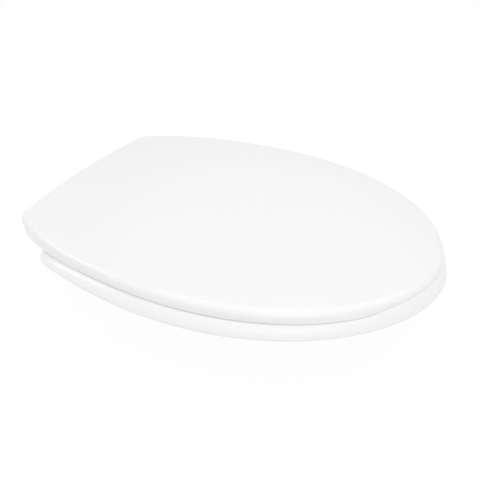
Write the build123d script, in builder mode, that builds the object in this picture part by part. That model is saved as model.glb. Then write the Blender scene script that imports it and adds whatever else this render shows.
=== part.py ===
"""Toilet seat with a closed lid: moulded lid and ring, two offset hinges and their fixings to the pan.

Millimetres. The origin lies midway between the two fixing bolts on the pan's rim, z is up and the
front of the seat points along -Y.
"""
import math
import os

from build123d import *

os.makedirs("parts", exist_ok=True)

SIDES = {"left": -1, "right": 1}

# Fixing to the pan
bolt_spacing = 155.0
bolt_clearance = 0.15
shank_radius = 4.0
shank_length = 20.0
thread_radius = 3.6
thread_length = 50.0
thread_clearance = 0.3
neck_side = 9.0
head_radius = 7.0
head_height = 3.0
washer_radius = 12.0
washer_taper = 3.0
washer_thick = 4.0
nut_radius = 8.0
nut_height = 12.0
wing_span = 34.0
wing_thick = 4.0
wing_height = 15.0
washer_drop = 0.5

# Hinge posts, with their pivot behind the bolts
pivot_behind = 26.0
pivot_height = 15.0
knuckle_radius = 7.0
knuckle_width = 19.0
knuckle_gap = 1.0
arm_width = 9.0
pin_radius = 3.5
pin_run_clearance = 0.08
pin_seat_clearance = 0.05
pin_head_radius = 5.2
pin_head_thick = 2.0
pin_head_gap = 0.4
pad_thick = 2.0
base_thick = 6.0
base_ahead = 13.0
base_behind = 12.0
base_corner = 8.0
neck_behind = 9.5
cap_radius = 8.2
cap_wall = 0.9
cap_height = 5.0
cap_edge = 1.8

# Plan of the lid, measured forward from the line through its rear corners
lid_half_width = 175.0
lid_length = 460.0
lid_widest = 208.0
corner_line_behind = 28.5
rear_bow = 2.9
rear_margin = 19.0
rear_end_ahead = 3.6
rear_pull = 0.5
corner_inset = 35.6
corner_ahead = 34.3
corner_turn = 27.6
corner_pull = 0.48
side_pull = 0.265
widest_pull = 0.3
flank_pull = 0.687
nose_pull = 0.418

# Section of the lid
lid_top = 43.2
lid_wall = 3.5
lid_shoulder = 8.0
crown_along = 6000.0
crown_across = 4000.0
rim_height = 24.8
rim_fall = 12.2
nose_lift = 6.0
lift_run = 65.0
notch_clearance = 3.5
lug_lean = 9.0

# Ring
ring_low = 7.5
seam_gap = 0.8
ring_overhang = 7.0
ring_lean = 5.5
ring_rear_lean = 9.0
ring_wall = 5.0
ring_skin = 4.0
ring_rear = -22.0
ring_corner = 26.0
ring_edge_share = 0.4
ring_foot_edge = 1.0
ring_front_band = 62.0
ring_side_band = 70.0
ring_rear_band = 82.5
opening_edge = 6.5
rib_count = 16
rib_thick = 3.0

# Buffers under the lid and under the ring
lid_buffer_turns = {"front": -50.0, "rear": 10.0}
ring_buffer_turns = {"front": -56.0, "rear": 48.0}
buffer_radius = 7.0
buffer_edge = 1.5
peg_radius = 2.5
peg_length = 5.0
peg_clearance = 0.1
boss_wall = 2.0
lid_buffer_height = 7.5
buffer_rest_gap = 0.4

# Places that follow from the sizes above
bolt_x = bolt_spacing / 2
knuckle_inner = bolt_x - knuckle_width / 2
knuckle_outer = bolt_x + knuckle_width / 2
arm_outer = knuckle_inner - knuckle_gap
arm_inner = arm_outer - arm_width
lug_inner = knuckle_outer + knuckle_gap
lug_outer = lug_inner + arm_width
base_top = pad_thick + base_thick
pivot = (pivot_behind, pivot_height)
notch_half = lug_outer + pin_head_gap + pin_head_thick + notch_clearance
notch_height = pivot_height + knuckle_radius + notch_clearance
rear_half_width = lug_outer + rear_margin
corner_half_width = lid_half_width - corner_inset
ring_top = rim_height - seam_gap
widest_y = corner_line_behind - lid_widest
nose_y = corner_line_behind - lid_length
lift_y = nose_y + lift_run
crown_ahead = lid_length / 2 - corner_line_behind
opening_front = nose_y - ring_overhang + ring_front_band
opening_rear = ring_rear - ring_rear_band
opening_y = (opening_front + opening_rear) / 2
opening_half_width = lid_half_width + ring_overhang - ring_side_band
opening_half_length = (opening_rear - opening_front) / 2
reach = lid_length + lid_half_width
washer_top = -shank_length - washer_drop
nut_top = washer_top - washer_thick
boss_radius = buffer_radius + boss_wall
lid_boss_low = ring_top + buffer_rest_gap + lid_buffer_height


def crown_height(x, y, depth=0.0):
    """Height of the lid's crowned top, or of the surface that lies depth under it."""
    across = crown_along - crown_across + math.sqrt((crown_across - depth) ** 2 - x**2)
    return lid_top - crown_along + math.sqrt(across**2 - (y + crown_ahead) ** 2)


def seam_height(y, level):
    """Height of the line between lid and ring behind the widest place, for its level at the front."""
    return level - rim_fall * ((y - widest_y) / lid_widest) ** 2


def on_opening(edge):
    """True for an edge of the ring that runs round its opening."""
    middle = edge @ 0.5
    across = middle.X / opening_half_width
    along = (middle.Y - opening_y) / opening_half_length
    return math.hypot(across, along) < 1.01


def on_band(turn):
    """Place on the middle of the ring's band, at an angle seen from the middle of its opening."""
    across = opening_half_width + ring_side_band / 2
    along = opening_half_length + ring_front_band / 2
    angle = math.radians(turn)
    return across * math.cos(angle), opening_y + along * math.sin(angle)


def lid_plan(grow=0.0, rear_grow=None):
    """Plan of the lid, standing grow outside its outline: a shallow arc behind and curves to the nose."""
    rear_grow = grow if rear_grow is None else rear_grow
    heading = Vector(math.sin(math.radians(corner_turn)), -math.cos(math.radians(corner_turn)))
    outward = Vector(-heading.Y, heading.X)
    rear_end = Vector(rear_half_width, corner_line_behind - rear_end_ahead + rear_grow)
    corner = Vector(corner_half_width, corner_line_behind - corner_ahead) + outward * rear_grow
    widest = Vector(lid_half_width + grow, widest_y)
    nose = Vector(0, nose_y - grow)
    rear_run = corner_half_width - rear_half_width
    corner_run = corner_ahead - rear_end_ahead
    side_run = lid_widest - corner_ahead
    flank_run = lid_length - lid_widest
    with BuildSketch() as plan:
        with BuildLine():
            rear_middle = (0, corner_line_behind + rear_bow + rear_grow)
            rear = ThreePointArc((-rear_end.X, rear_end.Y), rear_middle, rear_end)
            out = rear_end + rear % 1 * rear_pull * rear_run
            into = corner - heading * corner_pull * corner_run
            bend = Bezier(rear_end, out, into, corner)
            out = corner + heading * side_pull * side_run
            into = widest + Vector(0, widest_pull * side_run)
            side = Bezier(corner, out, into, widest)
            out = widest - Vector(0, flank_pull * flank_run)
            into = nose + Vector(nose_pull * lid_half_width, 0)
            flank = Bezier(widest, out, into, nose)
            mirror([bend, side, flank], about=Plane.YZ)
        make_face()
    return plan.sketch


def below_seam(level):
    """Side profile of all under the line between lid and ring, which lifts at the nose and falls behind."""
    corner = (corner_line_behind, level - rim_fall)
    high = level + nose_lift
    middle = nose_y + lift_run / 2
    with BuildSketch() as profile:
        with BuildLine():
            nose = Line((-reach, high), (nose_y, high))
            rise = Bezier(nose @ 1, (middle, high), (middle, level), (lift_y, level))
            front = Line(rise @ 1, (widest_y, level))
            fall = Bezier(front @ 1, ((widest_y + corner_line_behind) / 2, level), corner)
            tail = Line(fall @ 1, fall @ 1 + fall % 1 * reach / 10)
            Polyline(tail @ 1, ((tail @ 1).X, -reach), (-reach, -reach), nose @ 0)
        make_face()
    return profile.sketch


def ring_block(level, inset=0.0):
    """The ring's form, inset from its sides: a wall that leans in, a straight rear edge, an oval opening."""
    height = level + nose_lift - ring_low
    share = height / (ring_top - ring_low)
    low = ring_overhang - inset
    with BuildPart() as block:
        with BuildSketch(Plane.XY.offset(ring_low)):
            add(lid_plan(low))
        with BuildSketch(Plane.XY.offset(ring_low + height)):
            add(lid_plan(low - share * ring_lean, low - share * ring_rear_lean))
        loft(ruled=True)
        with Locations((0, ring_rear - inset - reach / 2, ring_low)):
            Box(2 * reach, reach, reach, mode=Mode.INTERSECT)
        ends = block.faces().sort_by(Axis.Y)[-1].edges().filter_by(Axis.X, reverse=True)
        fillet(ends, ring_corner - inset)
        with BuildSketch(Plane.XY.offset(ring_low)):
            with Locations((0, opening_y)):
                Ellipse(opening_half_width + inset, opening_half_length + inset)
        extrude(amount=height, mode=Mode.SUBTRACT)
        with BuildSketch(Plane.YZ):
            add(below_seam(level))
        extrude(amount=reach, both=True, mode=Mode.INTERSECT)
    return block.part


def on_outline(edge):
    """True for an edge that isn't one of the straight lines where the ring's upper faces meet."""
    place = (edge @ 0.5).Y
    return all(abs(place - line) > ring_foot_edge for line in (widest_y, lift_y, nose_y)) or edge.length < reach / 20


def arm_profile(bore, *points):
    """Side profile of a hinge arm: the knuckle round the pivot and the web through the given points."""
    with BuildSketch() as profile:
        with BuildLine():
            Polyline(*points, close=True)
        make_face()
        with Locations(pivot):
            Circle(knuckle_radius)
            Circle(bore, mode=Mode.SUBTRACT)
    return profile.sketch


def base_plan():
    """Plan of a hinge post's foot, square to the rear and rounded at the front corners."""
    with BuildSketch() as plan:
        with Locations((0, (base_behind - base_ahead) / 2)):
            Rectangle(knuckle_width, base_ahead + base_behind)
        fillet(plan.vertices().group_by(Axis.Y)[0], base_corner)
    return plan.sketch


def crown_solid(grow):
    """All that lies under the crowned top, standing grow above it: an arc turned about a far axis below."""
    swing = math.degrees(reach / crown_along)
    middle = (0, -crown_ahead, lid_top - crown_along)
    start = Plane(origin=middle, x_dir=(1, 0, 0), z_dir=(0, -1, 0)).rotated((-swing, 0, 0))
    radius = crown_across + grow
    top = crown_along + grow
    edge = top - radius + math.sqrt(radius**2 - reach**2)
    with BuildPart() as crown:
        with BuildSketch(start):
            with BuildLine():
                arc = ThreePointArc((-reach, edge), (0, top), (reach, edge))
                Polyline(arc @ 1, (reach, top - reach), (-reach, top - reach), arc @ 0)
            make_face()
        revolve(axis=Axis(middle, (1, 0, 0)), revolution_arc=2 * swing)
    return crown.part


def crowned_block(grow):
    """The lid's form as a solid down to the pan, standing grow outside it, with a soft upper edge."""
    with BuildPart() as block:
        with BuildSketch():
            add(lid_plan(grow))
        extrude(amount=lid_top + lid_wall)
        add(crown_solid(grow), mode=Mode.INTERSECT)
        fillet(block.faces().sort_by(Axis.Z)[-1].edges(), lid_shoulder + grow)
    return block.part


# Lid

with BuildPart() as lid_hollow:
    add(crowned_block(-lid_wall))
    for x, y in map(on_band, lid_buffer_turns.values()):
        with BuildSketch(Plane.XY.offset(lid_boss_low)):
            with Locations((-x, y), (x, y)):
                Circle(boss_radius)
        extrude(amount=lid_top, mode=Mode.SUBTRACT)

with BuildPart() as lid:
    add(crowned_block(0))
    add(lid_hollow.part, mode=Mode.SUBTRACT)
    with BuildSketch(Plane.YZ):
        add(below_seam(rim_height))
    extrude(amount=reach, both=True, mode=Mode.SUBTRACT)
    with BuildSketch():
        with Locations((0, pivot_behind)):
            Rectangle(2 * notch_half, 4 * knuckle_radius)
    extrude(amount=notch_height, mode=Mode.SUBTRACT)
    lug_top = crown_height(lug_outer, pivot_behind, lid_wall / 2)
    for side in SIDES.values():
        with BuildSketch(Plane.YZ.offset(side * lug_inner)):
            web = arm_profile(
                pin_radius + pin_run_clearance,
                (pivot_behind - knuckle_radius, pivot_height),
                (pivot_behind - 2 * knuckle_radius, lug_top),
                (pivot_behind - lug_lean, lug_top),
                (pivot_behind + knuckle_radius, pivot_height),
            )
            add(web)
        extrude(amount=side * arm_width)
    for x, y in map(on_band, lid_buffer_turns.values()):
        with BuildSketch(Plane.XY.offset(lid_boss_low)):
            with Locations((-x, y), (x, y)):
                Circle(peg_radius + peg_clearance)
        extrude(amount=peg_length + peg_clearance, mode=Mode.SUBTRACT)
lid.part.label = "lid"
export_step(lid.part, "parts/lid.step")

# Ring

with BuildPart() as ring_channel:
    add(ring_block(ring_top - ring_skin, ring_wall))
    with Locations((0, opening_y)):
        with PolarLocations(reach / 2, rib_count, start_angle=180 / rib_count):
            Box(reach, rib_thick, reach, mode=Mode.SUBTRACT)
    for x, y in map(on_band, ring_buffer_turns.values()):
        with Locations((-x, y), (x, y)):
            Cylinder(boss_radius, reach, mode=Mode.SUBTRACT)

with BuildPart() as seat_ring:
    add(ring_block(ring_top))
    upper = seat_ring.faces().filter_by(lambda f: f.normal_at().Z > 0.9).edges().filter_by(on_outline)
    fillet(upper.filter_by(on_opening), opening_edge)
    upper = seat_ring.faces().filter_by(lambda f: f.normal_at().Z > 0.9).edges().filter_by(on_outline)
    ring_edge = ring_edge_share * (seam_height(ring_rear, ring_top) - ring_low)
    fillet(upper.filter_by(on_opening, reverse=True), ring_edge)
    chamfer(seat_ring.faces().sort_by(Axis.Z)[0].edges(), ring_foot_edge)
    add(ring_channel.part, mode=Mode.SUBTRACT)
    arm_end = ring_rear - ring_wall + ring_foot_edge
    for side in SIDES.values():
        with BuildSketch(Plane.YZ.offset(side * arm_inner)):
            web = arm_profile(
                pin_radius + pin_run_clearance,
                (pivot_behind, pivot_height + knuckle_radius),
                (arm_end, seam_height(arm_end, ring_top) - ring_foot_edge),
                (arm_end, ring_low + ring_foot_edge),
                (pivot_behind, pivot_height - knuckle_radius),
            )
            add(web)
        extrude(amount=side * arm_width)
    for x, y in map(on_band, ring_buffer_turns.values()):
        with BuildSketch(Plane.XY.offset(ring_low)):
            with Locations((-x, y), (x, y)):
                Circle(peg_radius + peg_clearance)
        extrude(amount=peg_length + peg_clearance, mode=Mode.SUBTRACT)
seat_ring.part.label = "seat_ring"
export_step(seat_ring.part, "parts/seat_ring.step")

# Buffers: a soft foot with a peg pressed into its boss

buffers = []
for where, turn in ring_buffer_turns.items():
    buffers.append(("ring_buffer_" + where, on_band(turn), 0, ring_low))
for where, turn in lid_buffer_turns.items():
    buffers.append(("lid_buffer_" + where, on_band(turn), ring_top + buffer_rest_gap, lid_boss_low))

for name, (x, y), low, high in buffers:
    for side_name, side in SIDES.items():
        with BuildPart() as buffer:
            with BuildSketch(Plane.XY.offset(low)):
                with Locations((side * x, y)):
                    Circle(buffer_radius)
            extrude(amount=high - low)
            fillet(buffer.edges().group_by(Axis.Z)[0], buffer_edge)
            with BuildSketch(Plane.XY.offset(high)):
                with Locations((side * x, y)):
                    Circle(peg_radius)
            extrude(amount=peg_length)
        buffer.part.label = name + "_" + side_name
        export_step(buffer.part, "parts/" + buffer.part.label + ".step")

# Hinges and fixings, once for each side

for side_name, side in SIDES.items():
    bolt_axis = Axis((side * bolt_x, 0, 0), (0, 0, 1))
    bolt_plane = Plane(origin=(side * bolt_x, 0, 0), x_dir=(1, 0, 0), z_dir=(0, -1, 0))

    with BuildPart() as base_pad:
        with BuildSketch():
            with Locations((side * bolt_x, 0)):
                add(base_plan())
                Rectangle(neck_side + 4 * bolt_clearance, neck_side + 4 * bolt_clearance, mode=Mode.SUBTRACT)
        extrude(amount=pad_thick)
    base_pad.part.label = "base_pad_" + side_name
    export_step(base_pad.part, "parts/" + base_pad.part.label + ".step")

    with BuildPart() as hinge_post:
        with BuildSketch(Plane.YZ.offset(side * knuckle_inner)):
            web = arm_profile(
                pin_radius + pin_seat_clearance,
                (-base_ahead, pad_thick),
                (base_behind, pad_thick),
                (base_behind + knuckle_radius / 3, base_top),
                (pivot_behind, pivot_height - knuckle_radius),
                (pivot_behind - knuckle_radius / 3, pivot_height + knuckle_radius * 0.94),
                (neck_behind, base_top + base_thick / 2),
                (neck_behind, base_top),
                (-base_ahead, base_top),
            )
            add(web)
        extrude(amount=side * knuckle_width)
        fillet(hinge_post.edges().filter_by(Axis.Z).group_by(Axis.Y)[0], base_corner)
        with BuildSketch():
            with Locations((side * bolt_x, 0)):
                Rectangle(neck_side + 2 * bolt_clearance, neck_side + 2 * bolt_clearance)
        extrude(amount=base_top, mode=Mode.SUBTRACT)
    hinge_post.part.label = "hinge_post_" + side_name
    export_step(hinge_post.part, "parts/" + hinge_post.part.label + ".step")

    with BuildPart() as hinge_pin:
        with BuildSketch(Plane.YZ.offset(side * arm_inner)):
            with Locations(pivot):
                Circle(pin_radius)
        extrude(amount=side * (lug_outer + pin_head_gap - arm_inner))
        with BuildSketch(Plane.YZ.offset(side * (lug_outer + pin_head_gap))):
            with Locations(pivot):
                Circle(pin_head_radius)
        extrude(amount=side * pin_head_thick)
        ends = hinge_pin.edges().filter_by(GeomType.CIRCLE).sort_by(Axis.X, reverse=side < 0)
        chamfer([ends[0], ends[-1]], pin_head_thick / 3)
    hinge_pin.part.label = "hinge_pin_" + side_name
    export_step(hinge_pin.part, "parts/" + hinge_pin.part.label + ".step")

    with BuildPart() as fixing_bolt:
        with BuildSketch(Plane.XY.offset(base_top)):
            with Locations((side * bolt_x, 0)):
                Circle(head_radius)
        extrude(amount=head_height)
        fillet(fixing_bolt.edges().group_by(Axis.Z)[-1], head_height / 2)
        with BuildSketch():
            with Locations((side * bolt_x, 0)):
                Rectangle(neck_side, neck_side)
        extrude(amount=base_top)
        with BuildSketch():
            with Locations((side * bolt_x, 0)):
                Circle(shank_radius)
        extrude(amount=-shank_length)
        with BuildSketch(Plane.XY.offset(-shank_length)):
            with Locations((side * bolt_x, 0)):
                Circle(thread_radius)
        extrude(amount=-thread_length)
        chamfer(fixing_bolt.edges().group_by(Axis.Z)[0], thread_radius / 3)
    fixing_bolt.part.label = "fixing_bolt_" + side_name
    export_step(fixing_bolt.part, "parts/" + fixing_bolt.part.label + ".step")

    with BuildPart() as bolt_cap:
        with BuildSketch(Plane.XY.offset(base_top)):
            with Locations((side * bolt_x, 0)):
                Circle(cap_radius)
        extrude(amount=cap_height)
        fillet(bolt_cap.edges().group_by(Axis.Z)[-1], cap_edge)
        with BuildSketch(Plane.XY.offset(base_top)):
            with Locations((side * bolt_x, 0)):
                Circle(cap_radius - cap_wall)
        extrude(amount=head_height + cap_wall, mode=Mode.SUBTRACT)
    bolt_cap.part.label = "bolt_cap_" + side_name
    export_step(bolt_cap.part, "parts/" + bolt_cap.part.label + ".step")

    with BuildPart() as washer:
        with BuildSketch(bolt_plane):
            with BuildLine():
                Polyline(
                    (thread_radius + thread_clearance, washer_top),
                    (washer_radius, washer_top),
                    (washer_radius, washer_top - washer_thick / 3),
                    (washer_radius - washer_taper, washer_top - washer_thick),
                    (thread_radius + thread_clearance, washer_top - washer_thick),
                    close=True,
                )
            make_face()
        revolve(axis=bolt_axis)
    washer.part.label = "washer_" + side_name
    export_step(washer.part, "parts/" + washer.part.label + ".step")

    with BuildPart() as wing_nut:
        with BuildSketch(Plane.XY.offset(nut_top)):
            with Locations((side * bolt_x, 0)):
                Circle(nut_radius)
        extrude(amount=-nut_height, taper=6)
        with BuildSketch(bolt_plane):
            for wing in (-1, 1):
                with Locations((wing * wing_span / 4, nut_top - wing_thick - wing_height / 2)):
                    RectangleRounded(wing_span / 2, wing_height, wing_span / 8)
        extrude(amount=wing_thick / 2, both=True)
        with BuildSketch(Plane.XY.offset(nut_top)):
            with Locations((side * bolt_x, 0)):
                Circle(thread_radius + thread_clearance)
        extrude(amount=-reach, mode=Mode.SUBTRACT)
    wing_nut.part.label = "wing_nut_" + side_name
    export_step(wing_nut.part, "parts/" + wing_nut.part.label + ".step")
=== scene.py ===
"""Toilet seat in glossy white plastic: a crowned lid over an open ring, on two offset hinges.

The lid and the ring are lofted from the plan and section of the solids that they stand for. Lengths are in
millimetres until a mesh is made, with z up and the front of the seat along -Y.
"""
import math
from contextlib import contextmanager

import bmesh
import bpy
import numpy as np
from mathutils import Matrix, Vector


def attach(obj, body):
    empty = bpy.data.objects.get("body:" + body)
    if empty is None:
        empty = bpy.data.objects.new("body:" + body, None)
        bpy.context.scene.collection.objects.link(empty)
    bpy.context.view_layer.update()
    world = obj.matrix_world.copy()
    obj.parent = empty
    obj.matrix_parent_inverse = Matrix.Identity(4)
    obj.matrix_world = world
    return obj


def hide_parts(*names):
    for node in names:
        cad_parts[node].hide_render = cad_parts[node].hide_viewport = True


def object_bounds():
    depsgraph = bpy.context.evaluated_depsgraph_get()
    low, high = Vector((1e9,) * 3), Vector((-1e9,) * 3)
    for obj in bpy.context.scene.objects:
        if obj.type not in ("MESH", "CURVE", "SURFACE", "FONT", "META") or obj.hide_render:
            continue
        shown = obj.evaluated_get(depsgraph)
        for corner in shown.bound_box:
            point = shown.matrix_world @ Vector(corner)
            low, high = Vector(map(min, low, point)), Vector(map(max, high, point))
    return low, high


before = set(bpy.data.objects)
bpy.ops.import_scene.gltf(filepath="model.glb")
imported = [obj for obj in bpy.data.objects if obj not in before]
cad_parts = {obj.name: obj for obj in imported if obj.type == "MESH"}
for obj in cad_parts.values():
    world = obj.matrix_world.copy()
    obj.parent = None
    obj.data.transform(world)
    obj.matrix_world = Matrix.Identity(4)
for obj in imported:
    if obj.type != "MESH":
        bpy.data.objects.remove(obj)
cad_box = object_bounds()
MM = 0.001
SIDES = {"left": -1, "right": 1}

# Plan of the lid, measured forward from the line through its rear corners
LID_HALF_WIDTH = 175.0
LID_LENGTH = 460.0
LID_WIDEST = 208.0
CORNER_LINE = 28.5
REAR_BOW = 2.9
REAR_HALF_WIDTH = 116.0
REAR_END_AHEAD = 3.6
CORNER_INSET = 35.6
CORNER_AHEAD = 34.3
CORNER_TURN = math.radians(27.6)
REAR_PULL = 0.5
CORNER_PULL = 0.48
SIDE_PULL = 0.265
WIDEST_PULL = 0.3
FLANK_PULL = 0.687
NOSE_PULL = 0.418
WIDEST_Y = CORNER_LINE - LID_WIDEST
NOSE_Y = CORNER_LINE - LID_LENGTH

# Section of the lid
LID_TOP = 43.2
LID_WALL = 3.5
LID_SHOULDER = 8.0
WALL_DRAFT = 0.11
TUCK_LIMIT = 1.0
TUCK_BOW = 1.5
SHOULDER_TIGHTER = 3.0
SHOULDER_RUN = 140.0
CROWN_ALONG = 6000.0
CROWN_ACROSS = 4000.0
CROWN_AHEAD = LID_LENGTH / 2 - CORNER_LINE
RIM_HEIGHT = 24.75
RIM_FALL = 12.2
NOSE_LIFT = 6.0
LIFT_RUN = 65.0
LIFT_PULL = 1.5
RIM_ROUND = 0.7
RIM_SHARE = 0.45
NOTCH_HALF = 103.0
NOTCH_RUN = 9.0
NOTCH_HEIGHT = 25.5

# Ring
RING_LOW = 7.5
RING_TOP = 24.0
RING_OVERHANG = 7.0
RING_LEAN = 5.5
RING_REAR_LEAN = 9.0
RING_WALL = 5.0
RING_SKIN = 4.0
RING_REAR = -22.0
RING_CORNER = 26.0
RING_EDGE = 4.0
CLOSING_EDGE = 1.8
CLOSING_Y = -290.0
CLOSING_RUN = 120.0
CLOSING_DROP = 0.2
RING_SWELL = 1.6
FOOT_EDGE = 3.2
FOOT_RISE = 3.2
OPENING_FOOT = 1.2
ARM_SETBACK = 1.2
OPENING_EDGE = 6.5
OPENING_Y = -240.5
OPENING_HALF_WIDTH = 112.0
OPENING_HALF_LENGTH = 136.0
BAND_HALF_WIDTH = 147.0
BAND_HALF_LENGTH = 167.0
CHANNEL_ROUND = 1.5
FOOT_INNER = 0.5

# Hinge
PIVOT_Y = 26.0
PIVOT_Z = 15.0
KNUCKLE_RADIUS = 7.0
PIN_BORE = 3.58
ARM_INNER = 58.0
LUG_INNER = 88.0
ARM_WIDTH = 9.0
ARM_ROUND = 0.8
LUG_LEAN = 9.0
LEAST_FACING = 1e-9

# Fixings
BOLT_X = 77.5
BASE_TOP = 8.0
HEAD_RADIUS = 7.0
HEAD_HEIGHT = 3.0
HEAD_FLAT = 1.0
NECK_HALF = 4.5
NECK_REACH = 1.33
NECK_STEP = 0.02
SHANK_RADIUS = 4.0
SHANK_LENGTH = 20.0
SHANK_END = 0.5
CORE_START = 0.4
CORE_BITE = 0.1
TIP_LENGTH = 1.2
TIP_DRAW = 1.0
TIP_STEP = 0.1
TIP_RADIUS = 0.6
THREAD_RADIUS = 3.6
THREAD_DEPTH = 0.65
THREAD_LENGTH = 50.0
THREAD_PITCH = 1.5
THREAD_START = 1.0
THREAD_RUN = 48.5
THREAD_ROOT = 0.8
THREAD_CREST = 0.2
THREAD_SHARP = 30.0
THREAD_FACING = math.pi / 2
WING_THICK = 4.0
WING_MIDDLE = -36.0
WING_EDGE = 0.7
GRIP_COUNT = 5
GRIP_RADIUS = 0.45
GRIP_BELOW = 4.5
GRIP_HEIGHT = 9.0
GRIP_NEAR = 9.6
GRIP_FAR = 15.2
RIB_COUNT = 16
RIB_THICK = 3.0
RIB_DROP = 0.4
RIB_NEAR = 100.0
RIB_FAR = 290.0
RIB_TALL = 100.0
RIB_EDGE = 0.4

# Buffers
LID_BUFFER_TURNS = {"front": -50.0, "rear": 10.0}
RING_BUFFER_TURNS = {"front": -56.0, "rear": 48.0}
BUFFER_RADIUS = 7.0
BUFFER_EDGE = 1.5
BUFFER_REST = 0.4
LID_BUFFER_HEIGHT = 7.5
PEG_RADIUS = 2.5
PEG_LENGTH = 5.0
PEG_TIP = 0.5
PEG_CLEARANCE = 0.1
BOSS_RADIUS = 9.0
BOSS_EDGE = 0.6
WAIST_DEPTH = 0.5
WAIST_DROPS = (2.6, 2.3, 1.7, 1.4)
FLANGE_EDGE = 0.5
TREAD_DISH = ((0.6, 0.5), (2.6, 0.4), (3.6, 0.0))
LID_BOSS_LOW = RING_TOP + BUFFER_REST + LID_BUFFER_HEIGHT

# Points along the outlines and round the turned shapes
REAR_STEPS = 60
BEND_STEPS = 90
SIDE_STEPS = 160
FLANK_STEPS = 300
CORNER_STEPS = 40
LIFT_STEPS = 80
LID_POINTS = 360
RING_POINTS = 420
LATHE_POINTS = 48
LEVER_POINTS = 72
BOLT_POINTS = 64
SPIRAL_POINTS = 40
GRIP_POINTS = 14

# Rows of the skins, and where the rows over and under the crown start and end from its middle
SMALL_ROWS = 4
EDGE_ROWS = 5
HEAD_ROWS = 7
CROWN_ROWS = 26
CROWN_SHARES = (0.02, 0.985)
SHOULDER_ROWS = 12
WALL_ROWS = 7
HOLLOW_ROWS = 7
CEILING_ROWS = 14
CEILING_SHARES = (0.985, 0.03)
FACE_ROWS = 20
OPENING_ROWS = 10
BAND_ROWS = 16
ROOF_ROWS = 12
FOOT_ROWS = 7
FOOT_INNER_ROWS = 3
RIB_ROWS = 8
BEVEL_STEPS = 3

# Degrees above which edges stay sharp and below which faces are flat, and metres that close up
SHARP = 35.0
FLAT = 0.5
WELD = 1e-6
SLIVER = 2e-6


# Curves and meshes

def bezier(points, count):
    """Points along a cubic curve, without its last one."""
    t = np.linspace(0, 1, count, endpoint=False)[:, None]
    a, b, c, d = (np.array(p, float) for p in points)
    return (1 - t) ** 3 * a + 3 * (1 - t) ** 2 * t * b + 3 * (1 - t) * t**2 * c + t**3 * d


def evenly(points, count):
    """The closed line through points, cut into count equal steps."""
    loop = np.vstack([points, points[:1]])
    run = np.concatenate([[0], np.cumsum(np.linalg.norm(np.diff(loop, axis=0), axis=1))])
    at = np.linspace(0, run[-1], count, endpoint=False)
    return np.column_stack([np.interp(at, run, loop[:, k]) for k in range(2)])


def outward(points):
    """Unit normals of a closed line that runs counter-clockwise."""
    along = np.roll(points, -1, 0) - np.roll(points, 1, 0)
    along /= np.linalg.norm(along, axis=1)[:, None]
    return np.column_stack([along[:, 1], -along[:, 0]])


def half_plan(grow, rear_grow=None):
    """Right half of the lid's outline from the middle of its rear to its nose, standing grow outside."""
    rear_grow = grow if rear_grow is None else rear_grow
    heading = np.array((math.sin(CORNER_TURN), -math.cos(CORNER_TURN)))
    out = np.array((-heading[1], heading[0]))
    rear_end = np.array((REAR_HALF_WIDTH, CORNER_LINE - REAR_END_AHEAD + rear_grow))
    corner = np.array((LID_HALF_WIDTH - CORNER_INSET, CORNER_LINE - CORNER_AHEAD)) + out * rear_grow
    widest = np.array((LID_HALF_WIDTH + grow, WIDEST_Y))
    nose = np.array((0, NOSE_Y - grow))
    bow = REAR_BOW + REAR_END_AHEAD
    radius = (REAR_HALF_WIDTH**2 + bow**2) / (2 * bow)
    sweep = math.asin(REAR_HALF_WIDTH / radius)
    turn = np.linspace(0, sweep, REAR_STEPS, endpoint=False)
    centre = CORNER_LINE + REAR_BOW + rear_grow - radius
    rear = np.column_stack([radius * np.sin(turn), centre + radius * np.cos(turn)])
    leave = np.array((math.cos(sweep), -math.sin(sweep)))
    rear_run = LID_HALF_WIDTH - CORNER_INSET - REAR_HALF_WIDTH
    corner_run = CORNER_AHEAD - REAR_END_AHEAD
    side_run = LID_WIDEST - CORNER_AHEAD
    flank_run = LID_LENGTH - LID_WIDEST
    after_rear = rear_end + leave * REAR_PULL * rear_run
    before_corner = corner - heading * CORNER_PULL * corner_run
    after_corner = corner + heading * SIDE_PULL * side_run
    before_widest = widest + (0, WIDEST_PULL * side_run)
    after_widest = widest - (0, FLANK_PULL * flank_run)
    before_nose = nose + (NOSE_PULL * LID_HALF_WIDTH, 0)
    bend = bezier((rear_end, after_rear, before_corner, corner), BEND_STEPS)
    side = bezier((corner, after_corner, before_widest, widest), SIDE_STEPS)
    flank = bezier((widest, after_widest, before_nose, nose), FLANK_STEPS)
    return np.vstack([rear, bend, side, flank, nose[None]])


def whole_plan(half):
    """A closed counter-clockwise outline from its right half, rear to nose."""
    return np.vstack([half[1:-1] * (-1, 1), half[::-1]])


def crown(points, depth=0.0):
    """Height of the lid's crowned top at plan points, or of the surface depth under it."""
    across = CROWN_ALONG - CROWN_ACROSS + np.sqrt((CROWN_ACROSS - depth) ** 2 - points[:, 0] ** 2)
    return LID_TOP - CROWN_ALONG + np.sqrt(across**2 - (points[:, 1] + CROWN_AHEAD) ** 2)


def seam(points, level):
    """Height of the line between lid and ring, which lifts at the nose and falls behind its level middle."""
    fall = RIM_FALL * np.clip((points[:, 1] - WIDEST_Y) / LID_WIDEST, 0, None) ** 2
    t = np.linspace(0, 1, LIFT_STEPS)
    run = NOSE_Y + LIFT_RUN * (LIFT_PULL * t - LIFT_PULL * t**2 + t**3)
    lift = np.interp(points[:, 1], run, NOSE_LIFT * (1 - smooth_step(t)))
    return level + lift - fall


def smooth_step(value):
    """A share that leaves 0 and reaches 1 softly."""
    value = np.clip(value, 0, 1)
    return value * value * (3 - 2 * value)


def raised(points, height):
    """Plan points at a height of their own or at one height."""
    return np.column_stack([points, np.broadcast_to(height, len(points))])


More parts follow.
